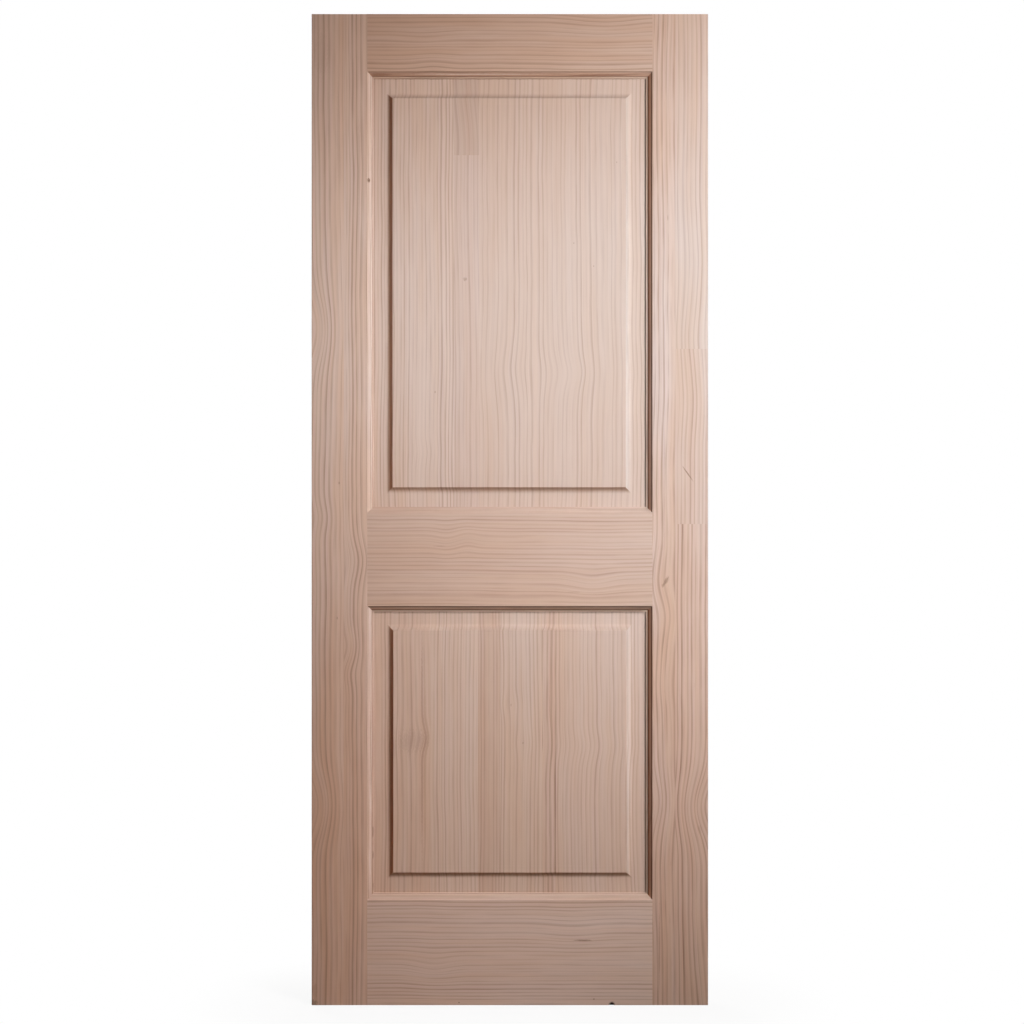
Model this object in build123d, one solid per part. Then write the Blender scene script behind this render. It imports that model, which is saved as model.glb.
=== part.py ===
from build123d import *
import math
import os

# A two-panel door leaf of bare pine: two stiles, three rails, two raised panels.
# Millimetres. X runs across the leaf from the hinge edge, Y through it with the front at -Y, Z up.

# Whole leaf
leaf_width = 813.0
leaf_height = 2032.0
leaf_thickness = 35.0

# Faces of the framing members, measured to the line where the moulding starts
stile_face = 114.3
top_rail_face = 117.5
lock_rail_face = 192.0
bottom_rail_face = 216.0
lock_rail_centre = 914.0
outer_arris = 1.5

# Moulding stuck on every panel edge, the same on both faces
quirk_depth = 2.2
ovolo_radius = 20.0
ovolo_lean = 20.0
ovolo_turn = 30.0
step_depth = 1.3
moulding_width = 11.7
panel_groove = 9.5

# Raised panels
field_setback = 52.5
field_thickness = 26.0
bevel_angle = 50.0
cove_radius = 15.0
tongue_play = 0.2
panel_float = 3.0

# How far each loose panel has settled off the middle of its opening
upper_panel_aside = -1.5
upper_panel_up = -0.8
lower_panel_up = 2.0

# Dowels through the coped shoulders
dowel_diameter = 12.7
dowel_length = 127.0
dowel_edge = 32.0
dowel_play = 0.1
dowel_end_room = 1.5
top_rail_dowel_rows = 2
lock_rail_dowel_rows = 3
bottom_rail_dowel_rows = 3

# Room left for glue between a coped rail end and the stile it closes on
glue_line = 0.1

# Worked out from the values above
half_leaf = leaf_thickness / 2
tongue_thickness = panel_groove - 2 * tongue_play
panel_rise = (field_thickness - tongue_thickness) / 2
far_face_line = leaf_width - stile_face
opening_width = far_face_line - stile_face

lock_rail_low = lock_rail_centre - lock_rail_face / 2
lock_rail_high = lock_rail_centre + lock_rail_face / 2
top_rail_low = leaf_height - top_rail_face


def block(low_x, high_x, low_y, high_y):
    """A flat rectangle between two corners."""
    middle = Pos((low_x + high_x) / 2, (low_y + high_y) / 2)
    return middle * Rectangle(high_x - low_x, high_y - low_y)


def moulding_waste():
    """What the cutter takes off one panel edge: a quirked ovolo with a fillet on each face, and the groove.

    The face line is at x = 0 and the leaf's middle plane at y = 0.
    """
    lean = math.radians(ovolo_lean)
    with BuildSketch() as waste:
        with BuildLine():
            quirk = Line((0, half_leaf), (0, half_leaf - quirk_depth))
            ovolo = JernArc(quirk @ 1, (math.cos(lean), -math.sin(lean)), ovolo_radius, -ovolo_turn)
            step = Line(ovolo @ 1, ovolo @ 1 - (0, step_depth))
            nose = Line((moulding_width, (step @ 1).Y), (moulding_width, half_leaf))
            Line(step @ 1, nose @ 0)
            Line(nose @ 1, quirk @ 0)
        make_face()
        mirror(about=Plane.XZ)
    return waste.sketch + block(0, moulding_width, -panel_groove / 2, panel_groove / 2)


def stile_section():
    """The hinge stile across its length, from its outer edge to the nose of its moulding."""
    board = block(0, stile_face + moulding_width, -half_leaf, half_leaf)
    board = fillet(board.vertices().sort_by(Axis.X)[:2], outer_arris)
    return board - Pos(stile_face, 0) * moulding_waste()


def rail_section(low, high, moulded_below, moulded_above):
    """A rail across its length, with height along x. Its plain edge is sawn square with the stile ends."""
    bottom = low - moulding_width if moulded_below else low
    top = high + moulding_width if moulded_above else high
    board = block(bottom, top, -half_leaf, half_leaf)
    if moulded_above:
        board -= Pos(high, 0) * moulding_waste()
    if moulded_below:
        board -= Pos(low, 0) * mirror(moulding_waste(), about=Plane.YZ)
    return board


def panel_section(breadth):
    """A raised panel across one of its directions: tongue, flat margin, coved bevel and field on both faces."""
    bevel = math.radians(bevel_angle)
    raise_width = panel_rise / math.tan(bevel) + cove_radius * math.tan(bevel / 2)
    tongue_half = tongue_thickness / 2
    edge = -breadth / 2
    field_edge = edge + field_setback - panel_float
    with BuildSketch() as section:
        with BuildLine():
            Line((edge, 0), (edge, tongue_half))
            margin = Line((edge, tongue_half), (field_edge - raise_width, tongue_half))
            cove = JernArc(margin @ 1, (1, 0), cove_radius, bevel_angle)
            rise = Line(cove @ 1, (field_edge, field_thickness / 2))
            Line(rise @ 1, (0, field_thickness / 2))
            mirror(about=Plane.YZ)
            mirror(about=Plane.XZ)
        make_face()
    return section.sketch


def along_x(section, start, end):
    """Run a section along X, with the section's x pointing up the leaf."""
    across = Plane(origin=(start, 0, 0), x_dir=(0, 0, 1), z_dir=(1, 0, 0))
    return extrude(across * section, amount=end - start)


def other_hand(shape):
    """The same shape at the lock edge of the leaf."""
    return mirror(shape, about=Plane.YZ.offset(leaf_width / 2))


def dowel_heights(low, high, rows):
    """Heights of a rail's dowels, the end ones a set distance inside the rail's face."""
    pitch = (high - low - 2 * dowel_edge) / (rows - 1)
    return [low + dowel_edge + row * pitch for row in range(rows)]


def dowels(heights, play=0.0, end_room=0.0):
    """Dowels across both shoulders of one rail, or their holes when they are given room."""
    pegs = []
    for shoulder in (stile_face, far_face_line):
        for height in heights:
            peg = Cylinder(dowel_diameter / 2 + play, dowel_length + 2 * end_room)
            pegs.append(Pos(shoulder, 0, height) * Rot(0, 90, 0) * peg)
    return pegs


def coped_rail(section, holes):
    """A rail with both ends cut to the reverse of the stile's moulding and bored for its dowels."""
    rail = along_x(section, stile_face + glue_line, far_face_line - glue_line)
    stile_and_glue = extrude(offset(stile_section(), glue_line, kind=Kind.INTERSECTION), amount=leaf_height)
    return rail - [stile_and_glue, other_hand(stile_and_glue)] - holes


def raised_panel(low, high, up, aside=0.0):
    """A panel raised on both faces, its mitred cove made where the two directions meet, as it has settled."""
    breadth = opening_width - 2 * panel_float
    length = high - low - 2 * panel_float
    middle = (low + high) / 2
    upright = extrude(panel_section(breadth), amount=length)
    upright = Pos(leaf_width / 2, 0, middle - length / 2) * upright
    lying = along_x(Pos(middle, 0) * panel_section(length), stile_face, far_face_line)
    return Pos(aside, 0, up) * (upright & lying)


# Dowels and their holes, rail by rail
rail_spans = {
    "top_rail": (top_rail_low, leaf_height, top_rail_dowel_rows),
    "lock_rail": (lock_rail_low, lock_rail_high, lock_rail_dowel_rows),
    "bottom_rail": (0.0, bottom_rail_face, bottom_rail_dowel_rows),
}
rail_heights = {name: dowel_heights(*span) for name, span in rail_spans.items()}
rail_holes = {name: dowels(heights, dowel_play, dowel_end_room) for name, heights in rail_heights.items()}
all_holes = [hole for holes in rail_holes.values() for hole in holes]

# The pieces of the leaf
stile = extrude(stile_section(), amount=leaf_height)
pieces = {
    "hinge_stile": stile - all_holes,
    "lock_stile": other_hand(stile) - all_holes,
    "upper_panel": raised_panel(lock_rail_high, top_rail_low, upper_panel_up, upper_panel_aside),
    "lower_panel": raised_panel(bottom_rail_face, lock_rail_low, lower_panel_up),
}
for name, (low, high, rows) in rail_spans.items():
    section = rail_section(low, high, moulded_below=low > 0, moulded_above=high < leaf_height)
    pieces[name] = coped_rail(section, rail_holes[name])
    pieces[name + "_dowels"] = Compound(children=dowels(rail_heights[name]))

os.makedirs("parts", exist_ok=True)
for name, piece in pieces.items():
    export_step(piece, f"parts/{name}.step")
    print(name, round(piece.volume / 1000), "cm3")
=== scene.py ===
# %% [markdown]
# # A door leaf of bare pine with two raised panels
#
# The leaf is a joiner's frame: two upright stiles, three level rails, and two raised panels that float
# in grooves. The imported model is loaded first and stays fixed. Everything below is in metres in its
# frame: x runs across the leaf from the hinge edge, y runs through it with the front face at low y, and
# z runs up from the foot. The box of the loaded leaf gives its width, height and thickness.

# %% Load the leaf
import math

import bmesh
import bpy
import numpy as np
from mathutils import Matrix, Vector


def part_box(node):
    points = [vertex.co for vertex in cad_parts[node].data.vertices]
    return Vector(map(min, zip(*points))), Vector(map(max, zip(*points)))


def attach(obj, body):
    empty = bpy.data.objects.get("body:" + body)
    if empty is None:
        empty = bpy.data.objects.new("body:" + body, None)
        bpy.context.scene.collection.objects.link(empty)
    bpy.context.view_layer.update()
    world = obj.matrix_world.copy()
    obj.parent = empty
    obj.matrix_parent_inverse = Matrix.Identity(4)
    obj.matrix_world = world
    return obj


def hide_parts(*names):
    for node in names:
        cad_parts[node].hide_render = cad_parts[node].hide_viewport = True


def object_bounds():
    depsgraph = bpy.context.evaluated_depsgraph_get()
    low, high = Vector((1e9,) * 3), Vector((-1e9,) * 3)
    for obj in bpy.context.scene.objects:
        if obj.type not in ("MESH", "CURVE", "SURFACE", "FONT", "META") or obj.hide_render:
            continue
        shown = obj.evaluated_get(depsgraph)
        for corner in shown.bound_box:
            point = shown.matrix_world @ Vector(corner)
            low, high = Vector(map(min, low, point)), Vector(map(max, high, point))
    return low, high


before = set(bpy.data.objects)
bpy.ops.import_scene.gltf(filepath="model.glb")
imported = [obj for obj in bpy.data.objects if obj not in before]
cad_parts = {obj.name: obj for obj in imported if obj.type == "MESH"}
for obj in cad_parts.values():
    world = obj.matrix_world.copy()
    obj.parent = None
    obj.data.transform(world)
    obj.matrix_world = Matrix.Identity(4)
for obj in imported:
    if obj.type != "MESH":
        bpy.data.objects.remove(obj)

cad_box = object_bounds()
leaf_width = cad_box[1].x
leaf_height = cad_box[1].z
half_thickness = cad_box[1].y
print(f"leaf {leaf_width:.3f} wide, {leaf_height:.3f} high, {2 * half_thickness:.3f} thick")

# %% [markdown]
# ## Sizes read from the frame
#
# Only the moulding's width is written here as a number, because a box can't tell it. The lines where
# the moulding starts are then found from the boxes of the pieces, so a leaf of another width still gets
# the right dressing.

# %% Face lines of the frame
moulding_width = 0.0117
hinge_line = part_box("hinge_stile")[1].x - moulding_width
lock_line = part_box("lock_stile")[0].x + moulding_width
top_rail_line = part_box("top_rail")[0].z + moulding_width
lock_rail_top_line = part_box("lock_rail")[1].z - moulding_width
lock_rail_low_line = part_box("lock_rail")[0].z + moulding_width
bottom_rail_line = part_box("bottom_rail")[1].z - moulding_width
print("stile faces", round(hinge_line, 4), "and", round(leaf_width - lock_line, 4))

# %% [markdown]
# ## The stuck moulding
#
# A cutter shapes the panel edge of every stile and rail: a small square drop below the face (the
# quirk), a leaning round (the ovolo), a short step and a narrow flat fillet, and then the groove that
# holds the panel. It could be a curve swept round each opening, but then the corners would need mitring
# by hand. Here the section is a list of depth and reach instead, and each piece is a stack of
# rectangles that are as large as the section says at each depth. Where two members meet, their stacks
# meet on the mitre by themselves, as a coped joint does.

# %% Section of the moulding
quirk_depth = 0.0022
ovolo_radius = 0.020
ovolo_lean = math.radians(20)
ovolo_turn = math.radians(30)
step_depth = 0.0013
groove_half = 0.00475
edge_ease = 0.0002
hair = 0.00002
ovolo_steps = 8


def moulding_section():
    """Depth below the face, and reach past the face line, from the face to the middle of the leaf."""
    section = [(0.0, -edge_ease), (edge_ease, 0.0)]
    for step in range(ovolo_steps + 1):
        slope = ovolo_lean + ovolo_turn * step / ovolo_steps
        depth = quirk_depth + ovolo_radius * (math.cos(ovolo_lean) - math.cos(slope))
        section.append((depth, ovolo_radius * (math.sin(slope) - math.sin(ovolo_lean))))
    fillet_depth = section[-1][0] + step_depth
    section.append((fillet_depth, section[-1][1]))
    section.append((fillet_depth + hair, moulding_width - edge_ease))
    section.append((fillet_depth + edge_ease, moulding_width))
    section.append((half_thickness - groove_half, moulding_width))
    section.append((half_thickness - groove_half + hair, 0.0))
    section.append((half_thickness, 0.0))
    return np.array(section)


moulding = moulding_section()
print("moulding section has", len(moulding), "points")

# %% [markdown]
# The long outer edges of the stiles are eased with a small round, so a hand doesn't meet a sharp
# corner. The stack of a stile needs levels for that round as well as for the moulding, so the two lists
# of depths are put together.

# %% Levels through the thickness
outer_arris = 0.0015
arris_steps = 5
arris_turns = [math.pi / 2 * step / arris_steps for step in range(arris_steps + 1)]
arris = outer_arris * np.array([(1 - math.cos(turn), 1 - math.sin(turn)) for turn in arris_turns])
front_depths = np.unique(np.round(np.concatenate([moulding[:, 0], arris[:, 0]]), 7))
depths = np.concatenate([front_depths, 2 * half_thickness - front_depths[-2::-1]])


def reach_at(section, depth):
    """How far a section reaches at a depth, the same from either face of the leaf."""
    from_face = min(depth, 2 * half_thickness - depth)
    return float(np.interp(from_face, section[:, 0], section[:, 1]))


print("levels through the leaf:", len(depths))

# %% [markdown]
# ## Meshes made as stacks
#
# One helper turns a list of rectangles into a closed mesh: four faces between each pair of levels and a
# cap on each face of the leaf. Faces that turn by only a few degrees are shaded as one round; larger
# turns stay crisp edges.

# %% A closed mesh from stacked rectangles
crisp_angle = math.radians(10)
across_way = (1.0, 0.0, 0.0)
up_way = (0.0, 0.0, 1.0)


def placed(name, data):
    """A new object in the scene."""
    thing = bpy.data.objects.new(name, data)
    bpy.context.scene.collection.objects.link(thing)
    return thing


def stacked_shell(levels):
    """A bmesh from (y, x low, x high, z low, z high) levels, front to back."""
    shell = bmesh.new()
    loops = []
    for y, x_low, x_high, z_low, z_high in levels:
        corners = [(x_low, z_low), (x_high, z_low), (x_high, z_high), (x_low, z_high)]
        loops.append([shell.verts.new((x, y, z)) for x, z in corners])
    shell.faces.new(loops[0])
    shell.faces.new(loops[-1][::-1])
    for front, back in zip(loops, loops[1:]):
        for here in range(4):
            there = (here + 1) % 4
            shell.faces.new((front[there], front[here], back[here], back[there]))
    return shell


def cut_across(shell, axis, places):
    """Adds edges where glued boards meet, without changing the shape."""
    for place in places:
        point = tuple(place if way else 0.0 for way in axis)
        everything = shell.verts[:] + shell.edges[:] + shell.faces[:]
        bmesh.ops.bisect_plane(shell, geom=everything, plane_co=point, plane_no=axis, dist=1e-7)


def finished_piece(name, levels, glue_across=(), glue_up=()):
    """Stacks a piece, cuts it at its glue lines and lets it ride on the leaf in its namesake's place."""
    shell = stacked_shell(levels)
    cut_across(shell, across_way, glue_across)
    cut_across(shell, up_way, glue_up)
    mesh = bpy.data.meshes.new(name + "_dressed")
    shell.to_mesh(mesh)
    shell.free()
    mesh.shade_smooth()
    mesh.set_sharp_from_angle(angle=crisp_angle)
    piece = placed(name + "_dressed", mesh)
    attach(piece, "root")
    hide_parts(name)
    print(piece.name, len(mesh.polygons), "faces")
    return piece


print("stack helpers ready")

# %% [markdown]
# ## The stiles
#
# Each stile runs the full height. It is glued up from two strips of pine, and the lock stile's outer
# strip is three lengths finger-jointed end to end. The mesh gets an edge at every glue line, so each
# length can have its own grain. The lock stile is the mirror of the hinge stile.

# %% Stiles
hinge_strip_joint = 0.0660
lock_strip_joint = 0.7458
lock_finger_joints = (0.9864, 1.3456)

hinge_levels = []
lock_levels = []
for depth in depths:
    y = depth - half_thickness
    outer = reach_at(arris, depth)
    inner = hinge_line + reach_at(moulding, depth)
    hinge_levels.append((y, outer, inner, 0.0, leaf_height))
    lock_levels.append((y, leaf_width - inner, leaf_width - outer, 0.0, leaf_height))

hinge_stile = finished_piece("hinge_stile", hinge_levels, [hinge_strip_joint])
lock_stile = finished_piece(
    "lock_stile", lock_levels, [lock_strip_joint], lock_finger_joints,
)

# %% [markdown]
# ## The rails
#
# A rail's long edges carry the same moulding, and its ends are coped to the reverse of the stile's. In
# a stack that is simple: at every depth the rail ends where the stile's moulding ends, with a hair of
# room for glue.

# %% Rails
glue_line = 0.0001


def rail_levels(low, high, moulded_below, moulded_above):
    """Levels of a rail between its two face lines."""
    levels = []
    for depth in depths:
        reach = reach_at(moulding, depth)
        start = hinge_line + reach + glue_line
        end = lock_line - reach - glue_line
        bottom = low - reach if moulded_below else low
        top = high + reach if moulded_above else high
        levels.append((depth - half_thickness, start, end, bottom, top))
    return levels


rail_lines = {
    "top_rail": (top_rail_line, leaf_height, True, False),
    "lock_rail": (lock_rail_low_line, lock_rail_top_line, True, True),
    "bottom_rail": (0.0, bottom_rail_line, False, True),
}
rails = {}
for name, lines in rail_lines.items():
    rails[name] = finished_piece(name, rail_levels(*lines))

# %% [markdown]
# ## The raised panels
#
# A panel is glued up from staves and raised on both faces. From its edge it is a tongue in the groove
# and a flat margin, and then a cove turns up into a straight bevel that ends at the crisp edge of the
# field. The stack runs from the front field through the tongue to the back field, and the mitres come
# out at the corners by themselves.

# %% Section of a raised panel
field_half = 0.013
tongue_play = 0.0002
tongue_half = groove_half - tongue_play
field_setback = 0.0525
panel_float = 0.003
bevel_angle = math.radians(50)
cove_radius = 0.015
cove_steps = 10
cove_lead = cove_radius / 20
field_ease = 0.0003
ease_share = 0.75


def panel_section():
    """Distance in from the face line, and half the thickness there, from the field out to the margin."""
    rise = field_half - tongue_half
    raise_width = rise / math.tan(bevel_angle) + cove_radius * math.tan(bevel_angle / 2)
    eased = 2 * field_ease * math.tan(bevel_angle) * ease_share
    section = [(field_setback + field_ease, field_half), (field_setback - field_ease, field_half - eased)]
    for step in range(cove_steps, -1, -1):
        slope = bevel_angle * step / cove_steps
        inset = field_setback - raise_width + cove_radius * math.sin(slope)
        section.append((inset, tongue_half + cove_radius * (1 - math.cos(slope)) + hair))
    section.append((section[-1][0] - cove_lead, tongue_half + hair / 2))
    return section


def panel_levels(name):
    """Levels of a panel from its front field to its back field."""
    low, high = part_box(name)
    half_section = [(inset - panel_float, half) for inset, half in panel_section()]
    half_section.append((0.0, tongue_half))
    levels = []
    for side, points in ((-1, half_section), (1, half_section[::-1])):
        for inset, half in points:
            levels.append((side * half, low.x + inset, high.x - inset, low.z + inset, high.z - inset))
    return levels


print("panel section has", len(panel_section()), "points from field to margin")

# %% Panels
upper_stave_joints = (0.2920, 0.3433)
upper_finger_joints = (1.7438,)
lower_stave_joints = (0.2429, 0.3412, 0.3863, 0.4733, 0.5010)

upper_panel = finished_piece(
    "upper_panel", panel_levels("upper_panel"), upper_stave_joints, upper_finger_joints,
)
lower_panel = finished_piece("lower_panel", panel_levels("lower_panel"), lower_stave_joints)

# %% [markdown]
# ## Two knocks
#
# A leaf that has been carried about gets knocked. There is a nick in the hinge stile's moulding, and a
# chip is out of the bottom rail's lower edge. Each is cut with a small uneven ball: a Boolean takes it
# out of the piece, and the cut mesh then takes the piece's place, so no cutter stays in the scene.

# %% Nick and chip
nick_place = (0.1169, -0.0150, 1.6920)
nick_half = (0.0018, 0.0034, 0.0044)
chip_place = (0.6157, -half_thickness, 0.0005)
chip_half = (0.0056, 0.0022, 0.0058)
unevenness = 0.18


def knock(piece, centre, half_size):
    """Cuts an uneven hollow out of a dressed piece; half its size is given across, through and up."""
    ball = bmesh.new()
    bmesh.ops.create_icosphere(ball, subdivisions=2, radius=1.0)
    for corner in ball.verts:
        uneven = 1.0 + unevenness * math.sin(5.0 * corner.co.x + 3.0 * corner.co.z)
        reaches = [half * uneven for half in half_size]
        corner.co = [middle + reach * way for middle, reach, way in zip(centre, reaches, corner.co)]
    cutter_mesh = bpy.data.meshes.new("knock")
    ball.to_mesh(cutter_mesh)
    ball.free()
    cutter = placed("knock", cutter_mesh)
    cut = piece.modifiers.new("knock", "BOOLEAN")
    cut.operation = "DIFFERENCE"
    cut.object = cutter
    worked_out = piece.evaluated_get(bpy.context.evaluated_depsgraph_get())
    knocked = bpy.data.meshes.new_from_object(worked_out)
    piece.modifiers.remove(cut)
    whole = piece.data
    piece.data = knocked
    bpy.data.meshes.remove(whole)
    knocked.name = piece.name
    knocked.set_sharp_from_angle(angle=crisp_angle)
    bpy.data.objects.remove(cutter)
    bpy.data.meshes.remove(cutter_mesh)
    print(piece.name, "knocked, now", len(knocked.polygons), "faces")


knock(hinge_stile, nick_place, nick_half)
knock(rails["bottom_rail"], chip_place, chip_half)

# %% [markdown]
# ## Wiring helpers for materials
#
# Pine grain is a solid pattern: the rings run through the wood, so the same pattern has to show on a
# face, in the moulding and on a sawn end. An image could not do that, so the grain is worked out from
# the place in the leaf. These helpers keep the node wiring short: a plain number goes onto a socket,
# and another node's output is linked.

# %% Wiring helpers
def plug(tree, value, socket):
    """Links an output to a socket, or sets the socket to a plain value."""
    if isinstance(value, bpy.types.NodeSocket):
        tree.links.new(value, socket)
    else:
        socket.default_value = value


def node(tree, kind, inputs=(), **settings):
    """Adds a node, sets it up and feeds its inputs in order or by name."""
    made = tree.nodes.new(kind)
    for key, value in settings.items():
        setattr(made, key, value)
    pairs = inputs.items() if isinstance(inputs, dict) else enumerate(inputs)
    for key, value in pairs:
        plug(tree, value, made.inputs[key])
    return made


def group_tree(name, inputs, outputs):
    """A new node group with its sockets, and its input and output nodes."""
    tree = bpy.data.node_groups.new(name, "ShaderNodeTree")
    for way, sockets in (("INPUT", inputs), ("OUTPUT", outputs)):
        for label, kind in sockets.items():
            tree.interface.new_socket(label, in_out=way, socket_type="NodeSocket" + kind)
    return tree, tree.nodes.new("NodeGroupInput").outputs, tree.nodes.new("NodeGroupOutput").inputs


print("wiring helpers ready")

# %% Arithmetic, noise and blends
noise_gain = 2.6


def sums(tree, operation, *values):
    """One step of arithmetic on numbers."""
    return node(tree, "ShaderNodeMath", values, operation=operation).outputs[0]


def times(tree, first, second):
    """The product of two numbers."""
    return sums(tree, "MULTIPLY", first, second)


def plus(tree, base, part, share):
    """A number with a share of another one added."""
    return sums(tree, "ADD", base, times(tree, part, share))


def apart(tree, place):
    """The three parts of a place or direction."""
    return node(tree, "ShaderNodeSeparateXYZ", [place]).outputs


def together(tree, *parts):
    """A place made of three parts."""
    return node(tree, "ShaderNodeCombineXYZ", parts).outputs[0]


def places(tree, operation, *values):
    """One step of arithmetic on places, directions or colours."""
    made = node(tree, "ShaderNodeVectorMath", values, operation=operation)
    return made.outputs["Value" if operation in ("LENGTH", "DOT_PRODUCT") else "Vector"]


def scaled(tree, place, amount):
    """A place or colour scaled by one number."""
    made = node(tree, "ShaderNodeVectorMath", {0: place, "Scale": amount}, operation="SCALE")
    return made.outputs["Vector"]


def noise(tree, place, scale, detail=0.0):
    """Soft noise from about -1 to 1; the scale says how quickly it changes in each direction."""
    looked_up = places(tree, "MULTIPLY", place, scale)
    made = node(tree, "ShaderNodeTexNoise", {"Vector": looked_up, "Scale": 1.0, "Detail": detail})
    return times(tree, sums(tree, "SUBTRACT", made.outputs["Fac"], 0.5), noise_gain)


def ramp(tree, value, start, end, low=0.0, high=1.0):
    """A smooth rise from low to high as the value goes from start to end."""
    limits = {"Value": value, "From Min": start, "From Max": end, "To Min": low, "To Max": high}
    return node(tree, "ShaderNodeMapRange", limits, interpolation_type="SMOOTHSTEP").outputs["Result"]


def blended(tree, amount, first, second, **settings):
    """Goes from the first colour to the second as the amount goes from 0 to 1."""
    inputs = {0: amount, 6: first, 7: second}
    return node(tree, "ShaderNodeMix", inputs, data_type="RGBA", **settings).outputs[2]


print("arithmetic, noise and blends ready")

# %% [markdown]
# ## Bent grain
#
# Round a knot or a healed branch the rings swing aside, and this is what tells one board from another.
# The group below takes a place in the wood and returns the place to look up instead: near its centre it
# pushes the lines sideways, or swells them apart. It fades out as a bell curve, so several bends can
# follow each other in a chain. Places inside a board are given as across the grain, through the board
# and along the grain.

# %% Group: bend
bend_tree, given, result = group_tree(
    "grain_bend",
    dict(Place="Vector", Centre="Vector", Reach="Vector", Push="Vector", Swell="Float"),
    dict(Place="Vector"),
)
offset = places(bend_tree, "SUBTRACT", given["Place"], given["Centre"])
reached = places(bend_tree, "DIVIDE", offset, given["Reach"])
squared = places(bend_tree, "DOT_PRODUCT", reached, reached)
bell = sums(bend_tree, "EXPONENT", times(bend_tree, squared, -1.0))
swollen = scaled(bend_tree, offset, given["Swell"])
drift = scaled(bend_tree, places(bend_tree, "ADD", swollen, given["Push"]), bell)
plug(bend_tree, places(bend_tree, "SUBTRACT", given["Place"], drift), result["Place"])
print(bend_tree.name, len(bend_tree.nodes), "nodes")

# %% [markdown]
# ## Marks
#
# Bare pine has resin pockets, pitch streaks, specks and handling smudges. Each is a soft ellipsoid in
# the wood with a ragged edge, so it shows on the face and goes only a little way in. The group returns
# how strongly it colours a place.

# %% Group: mark
ragged_scale = (700.0, 700.0, 180.0)
full_inside = 0.35

mark_tree, given, result = group_tree(
    "wood_mark",
    dict(Place="Vector", Centre="Vector", Half="Vector", Tilt="Float", Ragged="Float", Strength="Float"),
    dict(Amount="Float"),
)
offset = places(mark_tree, "SUBTRACT", given["Place"], given["Centre"])
tilting = {"Vector": offset, "Angle": given["Tilt"]}
tilted = node(mark_tree, "ShaderNodeVectorRotate", tilting, rotation_type="Y_AXIS").outputs[0]
size = places(mark_tree, "LENGTH", places(mark_tree, "DIVIDE", tilted, given["Half"]))
size = plus(mark_tree, size, noise(mark_tree, given["Place"], ragged_scale, 1.0), given["Ragged"])
amount = ramp(mark_tree, size, 1.0, full_inside)
plug(mark_tree, times(mark_tree, amount, given["Strength"]), result["Amount"])
print(mark_tree.name, len(mark_tree.nodes), "nodes")

# %% [markdown]
# ## Pine
#
# A pine ring is pale spring wood that darkens to a narrow band of summer wood and then stops short. The
# group measures the distance from the tree's heart line, with a slow sway along the board and a smaller
# ripple, and cuts it into rings. Each ring has its own strength, which comes and goes along the grain.
# Finer rings, fibres, slow streaks and short dark resin ducts go on top, and the wood turns warmer and
# cooler at two scales: over a hand's breadth and over a few rings. How flat or quarter sawn a board
# looks depends on where its heart line lies.

# %% Group: pine, rings
pine, given, result = group_tree(
    "pine_grain",
    dict(Place="Vector", Seed="Vector", Heart="Vector", Ring="Float", Sway="Float", Ripple="Float",
         Grain="Float", Streaks="Float", Pale="Color", Dark="Color", Warm="Color"),
    dict(Colour="Color", Rough="Float", Height="Float"),
)
own_place = places(pine, "ADD", given["Place"], given["Seed"])


def grain_noise(across, along, detail=0.0):
    """Noise in this board's own wood, with about so many changes a metre across and along the grain."""
    return noise(pine, own_place, (across, across, along), detail)


from_heart = places(pine, "SUBTRACT", given["Place"], given["Heart"])
parts = apart(pine, from_heart)
aside = plus(pine, parts[0], grain_noise(0.6, 2.6, detail=1.0), given["Sway"])
deep = plus(pine, parts[1], grain_noise(0.7, 1.9), given["Sway"])
flat = together(pine, aside, deep, 0.0)
ripple = grain_noise(15.0, 7.5, detail=2.0)
radius = plus(pine, places(pine, "LENGTH", flat), ripple, given["Ripple"])
count = sums(pine, "DIVIDE", radius, given["Ring"])
print("rings counted from the heart line")

# %% Group: pine, summer wood
uneven_rate = 0.42
uneven_share = 0.70
seed_spacing = 7.0
weakest_ring = 0.30
weak_ring_power = 1.5
least_ring = 0.05
coming_and_going = 0.35

seed_number = apart(pine, given["Seed"])[0]
slow_count = times(pine, count, uneven_rate)
uneven_at = together(pine, slow_count, seed_number, 0.0)
uneven = noise(pine, uneven_at, (1.0, 1.0, 1.0), 1.0)
count = plus(pine, count, uneven, uneven_share)
ring_number = plus(pine, sums(pine, "FLOOR", count), seed_number, seed_spacing)
drawn = node(pine, "ShaderNodeTexWhiteNoise", {"W": ring_number}, noise_dimensions="1D")
own = sums(pine, "POWER", drawn.outputs["Value"], weak_ring_power)
own = sums(pine, "ADD", own, weakest_ring)
comes_and_goes = grain_noise(95.0, 13.0, detail=1.0)
own = plus(pine, own, comes_and_goes, coming_and_going)
part_way = sums(pine, "FRACT", count)
darkens = ramp(pine, part_way, 0.40, 0.86)
stops_short = ramp(pine, part_way, 1.0, 0.88)
summer = times(pine, darkens, stops_short)
summer = times(pine, summer, sums(pine, "MAXIMUM", own, least_ring))
print("summer wood shaped")

# %% Group: pine, fibres and streaks
fine_rings = 2.35
summer_share = 0.78
fine_share = 0.20
fibre_share = 0.15
duct_share = 0.18

fine_wave = sums(pine, "PINGPONG", times(pine, count, fine_rings), 0.5)
fine_patches = ramp(pine, comes_and_goes, -0.6, 0.5)
fine = times(pine, ramp(pine, fine_wave, 0.15, 0.5), fine_patches)
fibre = grain_noise(430.0, 9.0, detail=1.0)
duct = ramp(pine, grain_noise(620.0, 34.0), 0.62, 0.95)
streak = grain_noise(24.0, 1.3, detail=2.0)

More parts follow.
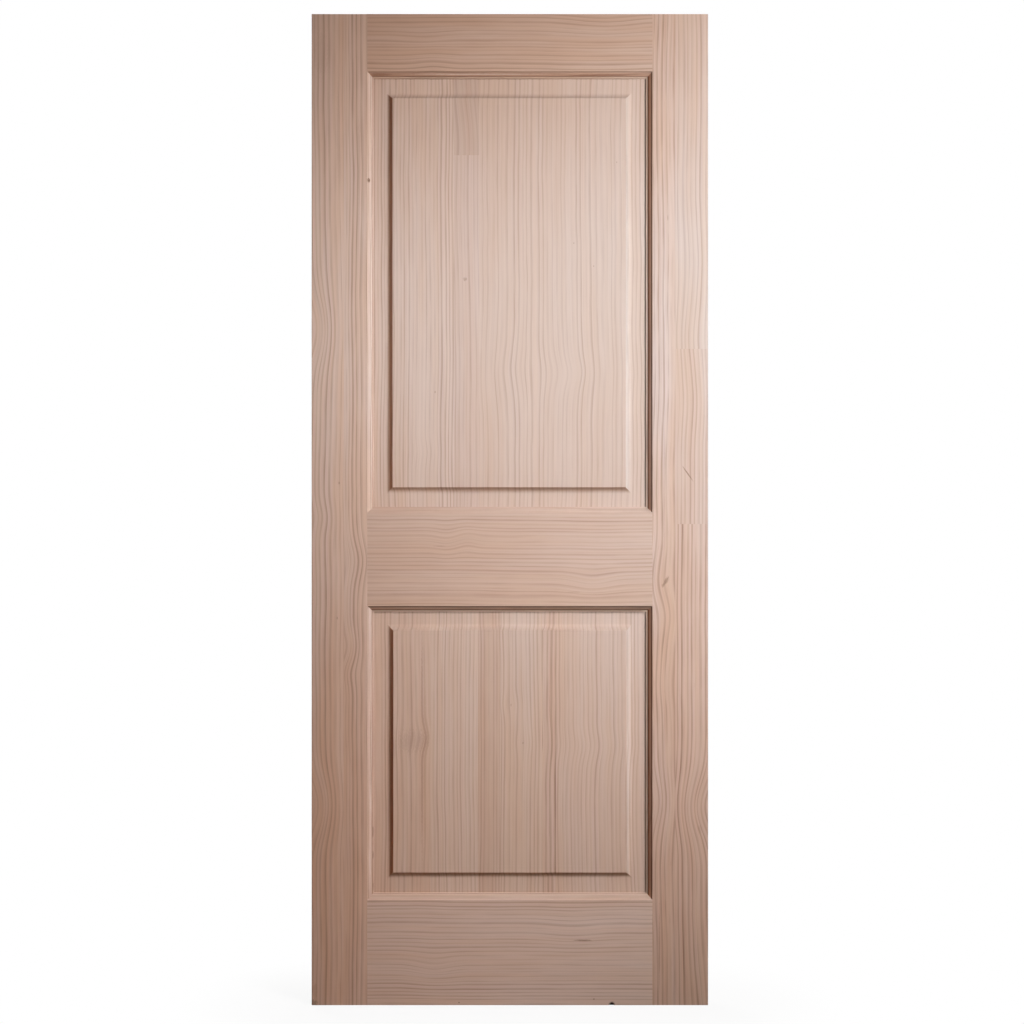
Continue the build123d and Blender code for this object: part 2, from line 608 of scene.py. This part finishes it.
darkness = times(pine, summer, summer_share)
for part, share in ((fine, fine_share), (fibre, fibre_share), (duct, duct_share)):
    darkness = plus(pine, darkness, part, share)
darkness = times(pine, darkness, given["Grain"])
darkness = plus(pine, darkness, streak, given["Streaks"])
darkness = node(pine, "ShaderNodeClamp", [darkness, -0.15, 1.2]).outputs[0]
print("fibres and streaks laid over the rings")

# %% Group: pine, colour
pale_rough = 0.66
dark_rough = 0.50
fibre_height = 0.35

broad_hue = grain_noise(16.0, 1.4, detail=1.0)
narrow_hue = grain_noise(60.0, 4.0, detail=1.0)
warmth = sums(pine, "ADD", broad_hue, narrow_hue)
spring = blended(pine, ramp(pine, warmth, -1.0, 1.0), given["Pale"], given["Warm"])
wood = blended(pine, darkness, spring, given["Dark"], clamp_factor=False)
plug(pine, wood, result["Colour"])
plug(pine, ramp(pine, darkness, 0.0, 1.0, pale_rough, dark_rough), result["Rough"])
plug(pine, sums(pine, "MULTIPLY_ADD", fibre, fibre_height, darkness), result["Height"])
print(pine.name, len(pine.nodes), "nodes")

# %% [markdown]
# ## Painted light on the wood
#
# The colour of the leaf carries painted light and shade. The wood is painted palest about two thirds of
# the way up and towards the lock edge, where the light is brightest, and it keeps a warmer brown near
# the foot, where the light is dimmer. This is one slow change over the whole leaf, so it is worked out
# from the place in the leaf and is the same for every board: green fades a little and blue fades more
# where the light is dimmer. The way a surface is turned counts too, as painted light: slopes turned to
# the lock edge, towards the light, are painted paler and a little darker, slopes turned away from it or
# down are painted a warmer brown and darker, and slopes that look up are painted a little darker. Square
# edges and sawn ends are left out of this.

# %% Group: painted light tint
palest_tint_height = 1.45

painted_light_tree, given, result = group_tree(
    "painted_light_tint",
    dict(Place="Vector", Facing="Vector", Colour="Color"),
    dict(Colour="Color"),
)
# Painted light and shade over the whole leaf: paler where the light is brightest, warmer and darker in
# green and blue where it is dimmer.
spots = apart(painted_light_tree, given["Place"])
rising = ramp(painted_light_tree, spots[2], 0.25, palest_tint_height, -0.20, 0.07)
falling = ramp(painted_light_tree, spots[2], palest_tint_height, 2.30, 0.0, -0.28)
sideways = sums(painted_light_tree, "MULTIPLY_ADD", spots[0], 0.25, -0.10)
tinted = sums(painted_light_tree, "ADD", sums(painted_light_tree, "ADD", rising, falling), sideways)
print("sun spread over the leaf, palest at", palest_tint_height)

# %% [markdown]
# Each row for a slope says which of x, y and z it is turned along (counted from 0), how far it must
# turn before the change starts and before it is full, how much its painted tint turns paler (below
# zero, warmer), and how much painted shade it gets.

# %% Group: painted light tint, slopes
# Painted light by the way a slope is turned: paler towards the light at the lock edge, a warmer and
# darker painted shade when turned away from it or down, and darker paint on slopes that look up.
slope_changes = {
    "to the lock edge": (0, 0.0, 1.0, 0.15, -0.16),
    "to the hinge edge": (0, -0.15, -0.80, -0.75, -0.15),
    "up": (2, 0.0, 1.0, 0.0, -0.24),
    "down": (2, -0.15, -0.80, -0.28, -0.12),
}
green_share = 0.6

facing = apart(painted_light_tree, given["Facing"])
not_square = ramp(painted_light_tree, sums(painted_light_tree, "ABSOLUTE", facing[1]), 0.15, 0.50)
shade = 1.0
for way, (axis, start, full, tinting, shading) in slope_changes.items():
    amount = times(painted_light_tree, ramp(painted_light_tree, facing[axis], start, full), not_square)
    tinted = sums(painted_light_tree, "MULTIPLY_ADD", amount, tinting, tinted)
    shade = sums(painted_light_tree, "MULTIPLY_ADD", amount, shading, shade)
    print("slopes turned", way, "are bleached by", tinting, "and shaded by", -shading)
green = sums(painted_light_tree, "EXPONENT", times(painted_light_tree, tinted, green_share))
blue = sums(painted_light_tree, "EXPONENT", tinted)
tint_factors = together(painted_light_tree, 1.0, green, blue)
light_tinted = scaled(painted_light_tree, places(painted_light_tree, "MULTIPLY", given["Colour"], tint_factors), shade)
plug(painted_light_tree, light_tinted, result["Colour"])
print(painted_light_tree.name, len(painted_light_tree.nodes), "nodes")

# %% [markdown]
# ## Boards
#
# A board is one length of pine: where its heart line lies, how wide its rings are, its colours, its
# bends and its marks. Marks have the colours of pitch, sapwood, amber and russet resin, and black: dirt,
# and in the chip on the bottom rail dark wood with painted shade inside the hollow. Painted shade
# darkens the corners of a moulding that are turned away from the light, in the quirk and at the foot of
# the step, and a painted highlight lightens the fillet beside them. These are narrow bands along the
# edge of a board.

# %% Stains, painted shade and painted highlight
pitch_colour = (0.16, 0.085, 0.05, 1.0)
sap_colour = (0.66, 0.53, 0.46, 1.0)
black_colour = (0.02, 0.015, 0.012, 1.0)
amber_colour = (0.42, 0.25, 0.14, 1.0)
russet_colour = (0.24, 0.10, 0.06, 1.0)
# Painted shade for moulding corners turned away from the light, and a painted highlight for the fillet.
painted_shade_colour = (0.07, 0.03, 0.015, 1.0)
painted_highlight_colour = (0.85, 0.66, 0.50, 1.0)
print("seven stains mixed")

# %% Bends, marks and bands
# Widths of the painted shade and painted highlight bands in a moulding.
corner_shade_width = 0.0026
step_top = 0.0070
step_foot = 0.0092
highlight_share = 0.5
soft_share = 0.2


def bend(across, along, reach_across, reach_along, push=0.0, swell=0.0):
    """One bend of the grain, in metres; push moves the lines across and swell spreads them."""
    return across, along, reach_across, reach_along, push, swell


def mark(across, along, half_across, half_along, tilt=0.0, strength=0.8, ragged=0.25, follows=False,
         deep=0.004, colour=pitch_colour):
    """One mark on the front face, in metres, tilted in degrees; a streak follows the bent grain."""
    return across, along, half_across, half_along, tilt, strength, ragged, follows, deep, colour


def moulding_shade_bands(line, strength):
    """Bands on the low side of a face line: painted shade in the quirk and under the step, a painted
    highlight on the fillet.
    """
    return [
        (line - corner_shade_width, line, strength, painted_shade_colour),
        (line - step_foot, line - step_top, strength, painted_shade_colour),
        (line - moulding_width, line - step_foot, highlight_share * strength, painted_highlight_colour),
    ]


def band_amount(tree, across, low, high, strength):
    """How much of a band's colour, painted shade or highlight, lies across it from low to high, with soft
    edges inside the band.
    """
    soft = (high - low) * soft_share
    rise = ramp(tree, across, low, low + soft)
    fall = ramp(tree, across, high, high - soft)
    return times(tree, times(tree, rise, fall), strength)


print("bends, marks and bands ready")

# %% [markdown]
# One function turns a board into a material. Grain runs up in stiles and panels and level in rails, so
# for a rail the height becomes across and the width becomes along. Sawn ends drink more light than
# faces and are darkened. Boards with the same tree number are cut from one tree, and their grain runs
# on from one to the next.

# %% Board material
board_count = 0
bend_depth = 0.06
seed_steps = (1.7, 0.9, 2.3)
end_shade = (0.72, 0.66, 0.60, 1.0)
bare_wood_shine = 0.06
grain_relief = {"Strength": 0.25, "Distance": 0.0002}
light_powers = (1.0, 1.27, 1.44)
green_warmth = 0.45


def tint(tone, lightness, warmth=0.0):
    """A tone made lighter or darker, and warmer or cooler; darker wood is also warmer."""
    lit = [part * lightness ** power for part, power in zip(tone, light_powers)]
    return lit[0], lit[1] * (1 - green_warmth * warmth), lit[2] * (1 - warmth), 1.0


def board(name, tone, heart, ring=0.0084, level=False, sway=0.006, ripple=0.0016, grain=0.6,
          streaks=0.06, hue=1.0, bends=(), marks=(), bands=(), face=-half_thickness, tree_number=None):
    """A pine material for one board. Heart is the heart line's place across and through the leaf."""
    global board_count
    board_count += 1
    tree_number = tree_number or board_count
    material = bpy.data.materials.new(name)
    material.use_nodes = True
    tree = material.node_tree
    shader = tree.nodes["Principled BSDF"]
    surface = node(tree, "ShaderNodeTexCoord").outputs
    place = surface["Object"]
    if level:
        ways = apart(tree, place)
        place = together(tree, ways[2], ways[1], ways[0])
    grown = place
    for across, along, reach_across, reach_along, push, swell in bends:
        bent = node(tree, "ShaderNodeGroup", {
            "Place": grown, "Centre": (across, face, along), "Push": (push, 0.0, 0.0), "Swell": swell,
            "Reach": (reach_across, bend_depth, reach_along),
        }, node_tree=bend_tree)
        grown = bent.outputs["Place"]
    wood = node(tree, "ShaderNodeGroup", {
        "Place": grown, "Seed": [step * tree_number for step in seed_steps], "Heart": (*heart, 0.0),
        "Ring": ring, "Sway": sway, "Ripple": ripple, "Grain": grain, "Streaks": streaks,
        "Pale": tint(tone, 1.09, -0.045 * hue), "Warm": tint(tone, 1.06, 0.075 * hue),
        "Dark": tint(tone, 0.62),
    }, node_tree=pine)
    # Painted light and shade tint, by the place in the leaf and by the way a surface is turned.
    painted_light = node(tree, "ShaderNodeGroup", {
        "Place": surface["Object"], "Facing": surface["Normal"], "Colour": wood.outputs["Colour"],
    }, node_tree=painted_light_tree)
    colour = painted_light.outputs["Colour"]
    for across, along, half_across, half_along, tilt, strength, ragged, follows, deep, stain_or_painted_light in marks:
        spot = node(tree, "ShaderNodeGroup", {
            "Place": grown if follows else place, "Centre": (across, face, along),
            "Half": (half_across, deep, half_along), "Tilt": math.radians(tilt),
            "Strength": strength, "Ragged": ragged,
        }, node_tree=mark_tree)
        colour = blended(tree, spot.outputs["Amount"], colour, stain_or_painted_light)
    across_only = apart(tree, place)[0]
    # Bands of painted shade and painted highlight along the mouldings.
    for low, high, strength, stain_or_painted_light in bands:
        colour = blended(tree, band_amount(tree, across_only, low, high, strength), colour, stain_or_painted_light)
    way = apart(tree, surface["Normal"])
    sawn = ramp(tree, sums(tree, "ABSOLUTE", way[0] if level else way[2]), 0.80, 0.97)
    colour = blended(tree, sawn, colour, end_shade, blend_type="MULTIPLY")
    relief = node(tree, "ShaderNodeBump", {**grain_relief, "Height": wood.outputs["Height"]}).outputs[0]
    finish = {"Base Color": colour, "Roughness": wood.outputs["Rough"], "Normal": relief,
              "Specular IOR Level": bare_wood_shine}
    for socket, value in finish.items():
        plug(tree, value, shader.inputs[socket])
    return material


print("board recipe ready")

# %% [markdown]
# The boards of the stiles come first. The hinge stile's outer strip is browner, with a strong swing of
# the grain in its upper half. The lock stile's inner strip waves round a resin pocket. The three
# lengths of its outer strip are from one tree and differ in tone, in the width of their rings and in
# how strongly the grain shows.

# %% Boards of the hinge stile
hinge_outer = board(
    "hinge_outer_pine", (0.598, 0.438, 0.360), heart=(-0.09, 0.02), ring=0.0090, grain=0.68, streaks=0.04,
    hue=1.5,
    bends=[
        bend(0.012, 1.385, 0.036, 0.072, push=0.020),
        bend(0.020, 1.000, 0.030, 0.030, push=0.006),
        bend(0.000, 0.408, 0.050, 0.065, push=0.026),
    ],
    marks=[
        mark(0.0565, 1.0706, 0.0016, 0.0040, strength=0.5),
        mark(0.0525, 0.7935, 0.0014, 0.0040, strength=0.5),
        mark(0.0200, 1.9500, 0.0200, 0.0600, strength=0.10, ragged=0.5),
        mark(0.0544, 1.7950, 0.0040, 0.1450, strength=0.12),
        mark(0.0060, 0.0280, 0.0080, 0.0220, strength=0.16, ragged=0.5),
        mark(0.0020, 0.0040, 0.0140, 0.0100, strength=0.4, ragged=0.5, colour=black_colour),
    ],
)
hinge_inner = board(
    "hinge_inner_pine", (0.584, 0.434, 0.364), heart=(0.24, 0.03), ring=0.0090, grain=0.86, hue=1.5,
    bends=[
        bend(0.100, 0.912, 0.035, 0.045, push=0.011),
        bend(0.075, 0.735, 0.025, 0.035, push=0.009),
        bend(0.075, 0.680, 0.025, 0.030, push=-0.005),
    ],
    marks=[
        mark(0.0974, 1.7233, 0.0032, 0.1330, strength=0.12),
        mark(0.1251, 0.3540, 0.0014, 0.0180, strength=0.45, deep=0.040),
        mark(0.1251, 0.3050, 0.0014, 0.0130, strength=0.45, deep=0.040),
        mark(0.1251, 0.2415, 0.0012, 0.0150, strength=0.40, deep=0.040),
        mark(0.1200, 0.4200, 0.0018, 0.0400, tilt=2, strength=0.35, deep=0.040, colour=sap_colour),
        mark(0.1190, 0.2900, 0.0018, 0.0350, tilt=3, strength=0.35, deep=0.040, colour=sap_colour),
        mark(nick_place[0], nick_place[2], 0.0040, 0.0062, strength=0.90, ragged=0.1, deep=0.012),
    ],
)
print("hinge stile: two strips")

# %% Boards of the lock stile
lock_inner = board(
    "lock_inner_pine", (0.550, 0.392, 0.320), heart=(0.60, 0.035), ring=0.0104, grain=1.05, sway=0.008,
    # Painted shade and a painted highlight in the moulding along the lock stile's panel edge.
    hue=1.7, bands=moulding_shade_bands(lock_line, 0.70),
    bends=[
        bend(0.700, 0.870, 0.030, 0.080, push=-0.011),
        bend(0.735, 0.800, 0.030, 0.050, push=0.008),
        bend(0.722, 0.660, 0.030, 0.060, push=-0.006),
        bend(0.700, 0.415, 0.040, 0.055, push=0.013),
    ],
    marks=[
        mark(0.7262, 0.8694, 0.0048, 0.0130, tilt=-33, strength=0.50, ragged=0.55),
        mark(0.7200, 0.8600, 0.0036, 0.0060, strength=0.25, ragged=0.5),
        mark(0.7304, 1.6145, 0.0010, 0.0080, strength=0.4),
        mark(0.7202, 1.0665, 0.0060, 0.1740, strength=0.10),
        mark(0.7131, 0.1223, 0.0014, 0.1100, strength=0.30),
    ],
)
lock_outer_tree = 6
lock_outer_boards = []
lock_outer_lengths = [
    ((0.553, 0.389, 0.314), 0.93, 0.0088, 0.85),
    ((0.540, 0.383, 0.310), 0.62, 0.0082, 0.55),
    ((0.540, 0.394, 0.324), 0.97, 0.0090, 0.50),
]
for number, (tone, heart_across, ring, grain) in enumerate(lock_outer_lengths):
    lock_outer_boards.append(board(
        f"lock_outer_pine_{number + 1}", tone, heart=(heart_across, 0.03), ring=ring, grain=grain,
        hue=1.3, tree_number=lock_outer_tree,
        bends=[
            bend(0.813, 0.405, 0.055, 0.062, push=-0.028),
            bend(0.780, 1.540, 0.040, 0.090, push=0.007),
            bend(0.780, 1.370, 0.040, 0.060, push=-0.006),
            bend(0.780, 1.230, 0.040, 0.070, push=0.005),
            bend(0.800, -0.030, 0.035, 0.110, push=0.013),
        ],
        marks=[
            mark(0.7714, 1.0896, 0.0017, 0.0245, tilt=35, strength=0.62),
            mark(0.7960, 0.3604, 0.0060, 0.0120, strength=0.12),
        ],
    ))
print("lock stile: two strips, the outer one in three lengths")

# %% [markdown]
# Rails come from wider boards with level grain. Each has a dip or two where a branch once stood.

# %% Boards of the rails
top_board = board(
    "top_rail_pine", (0.512, 0.355, 0.279), heart=(2.30, 0.05), level=True,
    # Painted shade and a painted highlight in the moulding under the top rail.
    bands=moulding_shade_bands(top_rail_line, 0.25),
    bends=[
        bend(1.930, 0.250, 0.030, 0.040, push=0.005),
        bend(1.985, 0.232, 0.020, 0.050, push=-0.005),
        bend(2.010, 0.600, 0.030, 0.080, push=-0.006),
    ],
    marks=[
        mark(1.9095, 0.1390, 0.0036, 0.0330, strength=0.45, deep=0.040, colour=russet_colour),
        mark(1.9058, 0.2500, 0.0012, 0.1000, strength=0.45, deep=0.040),
        mark(1.9100, 0.3400, 0.0016, 0.1800, strength=0.50, deep=0.040, colour=sap_colour),
        mark(1.9085, 0.5900, 0.0030, 0.0850, tilt=-1, strength=0.40, deep=0.040, colour=russet_colour),
    ],
)
lock_board = board(
    "lock_rail_pine", (0.537, 0.386, 0.314), heart=(0.55, 0.06), level=True, grain=0.57,
    # Painted shade and a painted highlight in the moulding under the lock rail.
    hue=0.9, bands=moulding_shade_bands(lock_rail_low_line, 0.75),
    bends=[
        bend(0.865, 0.575, 0.030, 0.045, push=-0.010),
        bend(0.955, 0.320, 0.030, 0.022, push=0.005),
        bend(0.955, 0.275, 0.040, 0.025, push=-0.005),
    ],
    marks=[
        mark(0.9413, 0.2634, 0.0010, 0.0160, strength=0.35),
        mark(0.8469, 0.5399, 0.0010, 0.0200, strength=0.30),
    ],
)
bottom_board = board(
    "bottom_rail_pine", (0.607, 0.471, 0.406), heart=(0.52, 0.05), ring=0.0082, level=True,
    bends=[
        bend(0.075, 0.250, 0.035, 0.045, push=-0.010),
        bend(0.150, 0.535, 0.040, 0.060, push=-0.006),
    ],
    marks=[
        mark(0.1330, 0.5563, 0.0017, 0.0240, strength=0.70),
        mark(0.0125, 0.5788, 0.0016, 0.0026, strength=0.8),
        mark(0.0053, 0.3023, 0.0016, 0.0024, strength=0.8),
        # The chip's hollow is painted black: dark torn wood, and painted shade inside the hollow.
        mark(chip_place[2], chip_place[0], 0.0085, 0.0085, strength=1.0, ragged=0.1, deep=0.020,
             colour=black_colour),
    ],
)
print("rails: three boards")

# %% [markdown]
# A panel is glued from staves that differ in width, figure and tone. The wide stave of the upper panel
# is flat sawn, and its lines swing round a grown-over branch; its narrow neighbour is finger-jointed to
# a darker, slanted length.

# %% Staves of the upper panel
# Painted shadow on the panel margin beside the lock stile's moulding, where the moulding's nose shades
# it.
margin_shadow = [(lock_line - moulding_width - corner_shade_width, lock_line - moulding_width, 0.40, painted_shade_colour)]


def stave(name, tone, **character):
    """A board that shows in the field of a panel."""
    return board(name, tone, face=-field_half, **character)


upper_staves = [
    stave(
        "upper_stave_1", (0.559, 0.417, 0.347), heart=(0.02, 0.05), ring=0.0080, grain=0.64,
        bends=[bend(0.232, 1.134, 0.030, 0.025, push=0.004)],
        marks=[
            mark(0.2531, 1.2574, 0.0018, 0.0030, strength=0.4),
            mark(0.2265, 1.2000, 0.0210, 0.3400, strength=0.28, ragged=0.15, colour=sap_colour),
            mark(0.2680, 1.2000, 0.0090, 0.2400, strength=0.07),
        ],
    ),
    stave(
        "upper_stave_2", (0.536, 0.399, 0.337), heart=(0.12, 0.06), ring=0.0078, grain=0.52, hue=0.7,
        marks=[mark(0.3146, 1.4893, 0.0052, 0.0050, strength=0.32, ragged=0.4)],
    ),
    stave(
        "upper_stave_3", (0.541, 0.401, 0.331), heart=(0.02, 0.06), ring=0.0100, ripple=0.0026,
        # Painted shadow on the margin beside the lock stile's moulding.
        grain=0.47, hue=0.7, bands=margin_shadow,
        bends=[
            bend(0.4622, 1.2985, 0.130, 0.080, swell=0.10),
            bend(0.4622, 1.2985, 0.060, 0.035, swell=0.14),
            bend(0.5350, 1.2970, 0.045, 0.024, push=0.004),
        ],
        marks=[
            mark(0.5379, 1.5632, 0.0014, 0.0020, strength=0.5),
            mark(0.5788, 1.5160, 0.0014, 0.0020, strength=0.5),
            mark(0.6260, 1.7295, 0.0014, 0.0020, strength=0.5),
            mark(0.5990, 1.5400, 0.0030, 0.0900, strength=0.08),
        ],
    ),
]
upper_dark_length = stave(
    "upper_stave_2_top", (0.494, 0.356, 0.288), heart=(0.20, 0.04), ring=0.0090, grain=0.40,
    bends=[bend(0.318, 1.76, 0.060, 0.100, push=0.012)],
)
print("upper panel:", len(upper_staves) + 1, "lengths of pine")

# %% Staves of the lower panel
lower_staves = [
    stave(
        "lower_stave_1", (0.569, 0.432, 0.364), heart=(0.05, 0.05), grain=0.54,
        bends=[
            bend(0.2285, 0.547, 0.024, 0.027, push=0.009),
            bend(0.190, 0.535, 0.030, 0.035, push=-0.003),
        ],
        marks=[
            mark(0.2262, 0.5400, 0.0030, 0.3000, strength=0.35, follows=True, colour=russet_colour),
            mark(0.2318, 0.5200, 0.0042, 0.2700, strength=0.25, follows=True, colour=amber_colour),
            mark(0.2050, 0.5400, 0.0340, 0.0280, strength=0.12, ragged=0.9, follows=True),
        ],
    ),
    stave("lower_stave_2", (0.572, 0.444, 0.377), heart=(0.02, 0.04), ring=0.0080, grain=0.55),
    stave("lower_stave_3", (0.531, 0.394, 0.324), heart=(0.62, 0.05), ring=0.0080, grain=0.55),
    stave(
        "lower_stave_4", (0.559, 0.432, 0.365), heart=(0.18, 0.05), grain=0.50,
        bends=[
            bend(0.4088, 0.615, 0.016, 0.024, swell=0.4),
            bend(0.4334, 0.537, 0.016, 0.024, swell=0.4),
        ],
        marks=[
            mark(0.4088, 0.6149, 0.0018, 0.0040, strength=0.25),
            mark(0.4334, 0.5369, 0.0022, 0.0030, strength=0.30),
        ],
    ),
    stave(
        "lower_stave_5", (0.548, 0.410, 0.344), heart=(0.40, 0.04), ring=0.0080, grain=1.0, hue=1.3,
        bends=[bend(0.485, 0.535, 0.020, 0.045, push=0.005)],
        marks=[mark(0.4880, 0.5000, 0.0012, 0.2000, strength=0.30, follows=True)],
    ),
    stave(
        "lower_stave_6", (0.556, 0.423, 0.356), heart=(0.82, 0.05), grain=0.48, sway=0.008,
        # Painted shadow on the margin beside the lock stile's moulding.
        bands=margin_shadow, bends=[bend(0.580, 0.530, 0.080, 0.030, push=0.006)],
    ),
]
print("lower panel:", len(lower_staves), "staves")

# %% [markdown]
# ## Laying the boards onto the pieces
#
# A face takes the board that its centre lies in. The cuts made earlier follow the glue lines, so no
# face straddles two.

# %% Lay boards by position
def lay(piece, boards, chooser):
    """Gives every face of a piece one of its boards; the chooser returns a board's number for a place."""
    for material in boards:
        piece.data.materials.append(material)
    for face in piece.data.polygons:
        face.material_index = chooser(face.center)


def stave_of(joints, place):
    """How many glue lines lie to the left of a place."""
    return int(sum(place.x > joint for joint in joints))


def lock_strip(place):
    """The inner strip is board 0; the outer one has a board for each finger-jointed length."""
    if place.x < lock_strip_joint:
        return 0
    return 1 + int(sum(place.z > joint for joint in lock_finger_joints))


def upper_stave(place):
    """The second stave changes to its darker length above the finger joint."""
    number = stave_of(upper_stave_joints, place)
    return len(upper_staves) if number == 1 and place.z > upper_finger_joints[0] else number


lay(hinge_stile, [hinge_outer, hinge_inner], lambda place: int(place.x > hinge_strip_joint))
lay(lock_stile, [lock_inner] + lock_outer_boards, lock_strip)
lay(upper_panel, upper_staves + [upper_dark_length], upper_stave)
lay(lower_panel, lower_staves, lambda place: stave_of(lower_stave_joints, place))
for rail, material in zip(rails.values(), (top_board, lock_board, bottom_board)):
    lay(rail, [material], lambda place: 0)
print(board_count, "boards laid")

# %% [markdown]
# ## Dowels
#
# Birch dowels hold each rail to the stiles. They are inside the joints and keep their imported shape,
# with a plain fine birch grain along their length.

# %% Birch dowels
birch = board(
    "dowel_birch", (0.70, 0.55, 0.38), heart=(0.9, 0.3), ring=0.0040, level=True, sway=0.001,
    ripple=0.0005, grain=0.35, streaks=0.05,
)
for name in rails:
    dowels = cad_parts[name + "_dowels"]
    dowels.data.materials.clear()
    dowels.data.materials.append(birch)
print("dowels in birch")

# %% [markdown]
# ## Floor and surroundings
#
# The leaf stands on a pale floor in a white room. To the camera, floor and room are plain white; near
# the foot a share of the floor is real paint that takes the leaf's shadow, and that share fades out
# with distance. The rays that light the leaf meet a duller floor and a dim, warm room instead.

# %% Floor
floor_half = 12.0

floor_mesh = bpy.data.meshes.new("floor")
floor_corners = [(x * floor_half, y * floor_half, 0) for x, y in ((-1, -1), (1, -1), (1, 1), (-1, 1))]
floor_mesh.from_pydata(floor_corners, [], [(0, 1, 2, 3)])
floor = placed("floor", floor_mesh)
print("floor", 2 * floor_half, "m square")

# %% Floor paint
white_colour = (1.0, 1.0, 1.0, 1.0)
dull_paint = (0.80, 0.79, 0.78, 1.0)
clean_paint = (0.84, 0.83, 0.82, 1.0)
thrown_back = (0.28, 0.25, 0.22, 1.0)
paint_scale = (9.0, 9.0, 9.0)
shadow_share = 0.10
shadow_start = 0.02
shadow_fade = 0.30


def plain_rays(tree):
    """1 for camera, mirror and glass rays, which see plain white; 0 for rays that light the leaf."""
    path = node(tree, "ShaderNodeLightPath").outputs
    seen = sums(tree, "MAXIMUM", path["Is Camera Ray"], path["Is Glossy Ray"])
    return sums(tree, "MAXIMUM", seen, path["Is Transmission Ray"])


floor_paint = bpy.data.materials.new("floor_paint")
floor_paint.use_nodes = True
tree = floor_paint.node_tree
tree.nodes.clear()
floor_place = node(tree, "ShaderNodeTexCoord").outputs["Object"]
spot = apart(tree, floor_place)
from_middle = sums(tree, "ABSOLUTE", sums(tree, "SUBTRACT", spot[0], leaf_width / 2))
past_edge = sums(tree, "MAXIMUM", sums(tree, "SUBTRACT", from_middle, leaf_width / 2), 0.0)
away = places(tree, "LENGTH", together(tree, past_edge, spot[1], 0.0))
share = ramp(tree, away, shadow_start, shadow_fade, shadow_share, 0.0)
worn = ramp(tree, noise(tree, floor_place, paint_scale, 3.0), -1.0, 1.0)
paint = blended(tree, worn, dull_paint, clean_paint)
painted = node(tree, "ShaderNodeBsdfDiffuse", {"Color": paint}).outputs[0]
white = node(tree, "ShaderNodeEmission", {"Color": white_colour, "Strength": 1.0}).outputs[0]
seen_floor = node(tree, "ShaderNodeMixShader", [share, white, painted]).outputs[0]
lit_floor = node(tree, "ShaderNodeBsdfDiffuse", {"Color": thrown_back}).outputs[0]
surface = node(tree, "ShaderNodeMixShader", [plain_rays(tree), lit_floor, seen_floor]).outputs[0]
plug(tree, surface, node(tree, "ShaderNodeOutputMaterial").inputs["Surface"])
floor_mesh.materials.append(floor_paint)
print(floor_paint.name, len(tree.nodes), "nodes")

# %% World
fill_level = 0.01
fill_colour = (1.0, 0.93, 0.87, 1.0)

world = bpy.data.worlds.new("white_room")
world.use_nodes = True
bpy.context.scene.world = world
tree = world.node_tree
tree.nodes.clear()
fill = node(tree, "ShaderNodeBackground", {"Color": fill_colour, "Strength": fill_level}).outputs[0]
white = node(tree, "ShaderNodeBackground", {"Color": white_colour, "Strength": 1.0}).outputs[0]
room = node(tree, "ShaderNodeMixShader", [plain_rays(tree), fill, white]).outputs[0]
plug(tree, room, node(tree, "ShaderNodeOutputWorld").inputs["Surface"])
bpy.context.scene.view_settings.view_transform = "Standard"
print("white room with a fill of", fill_level)

# %% [markdown]
# ## Lamps
#
# In the photograph the light comes from the front and the upper right: the mouldings on the right throw
# their shadows to the left, and the corners of the leaf are dimmer than its middle. Three narrow lamps
# rake the leaf from there, and two near lamps, a strong one from the side and a weak one at the foot
# fill the rest. Two lamps behind and one over the top show the back and the top edge when the leaf is
# turned. Lamps are soft boxes that the camera doesn't see.

# %% Lamps
leaf_middle = Vector((0.4109, -half_thickness, 1.0111))


def soft_lamp(name, offset, size, watts, spread=180.0, aim=(0.0, 0.0, 0.0)):
    """A square soft lamp placed and aimed by offsets from the middle of the leaf's face."""
    light = bpy.data.lights.new(name, "AREA")
    light.shape = "SQUARE"
    light.size = size
    light.energy = watts
    light.spread = math.radians(spread)
    lamp = placed(name, light)
    lamp.location = leaf_middle + Vector(offset)
    target = leaf_middle + Vector(aim)
    lamp.rotation_euler = (target - lamp.location).to_track_quat("-Z", "Y").to_euler()
    lamp.visible_camera = False
    return lamp


lamps = [
    soft_lamp("key_lamp", (2.2, -2.2, 1.1), 0.6, 1.62, 34.0, aim=(0.1, 0.0, 0.5)),
    soft_lamp("low_key_lamp", (2.2, -2.2, 1.8), 0.6, 1.51, 20.0, aim=(0.1, 0.0, -0.5)),
    soft_lamp("left_lamp", (1.0, -2.6, 1.6), 0.6, 0.90, 24.0, aim=(-0.2, 0.0, 0.3)),
    soft_lamp("near_high_lamp", (1.0, -1.2, 1.2), 0.7, 9.2),
    soft_lamp("near_lamp", (1.0, -1.2, 0.5), 0.7, 9.0),
    soft_lamp("side_lamp", (2.8, -2.0, 1.2), 0.7, 30.2),
    soft_lamp("foot_lamp", (1.8, -1.2, -0.3), 0.7, 1.2),
    soft_lamp("back_left_lamp", (-1.8, 2.4, 1.2), 1.5, 54.0),
    soft_lamp("back_right_lamp", (1.6, 2.6, 0.6), 1.5, 30.0),
    soft_lamp("top_lamp", (0.0, 0.9, 2.0), 0.8, 8.0, aim=(0.0, 0.1, 1.0)),
]
print(len(lamps), "lamps")

# %% [markdown]
# ## Camera
#
# The photograph looks straight at the leaf from the front, with a little white round it.

# %% Camera
face_distance = 2.916
camera_data = bpy.data.cameras.new("camera")
camera_data.lens = 50.0
camera_data.sensor_width = 36.0
camera = placed("camera", camera_data)
camera.location = leaf_middle - Vector((0.0, face_distance, 0.0))
camera.rotation_euler = (math.pi / 2, 0.0, 0.0)
bpy.context.scene.camera = camera
print("camera", [round(value, 3) for value in camera.location])
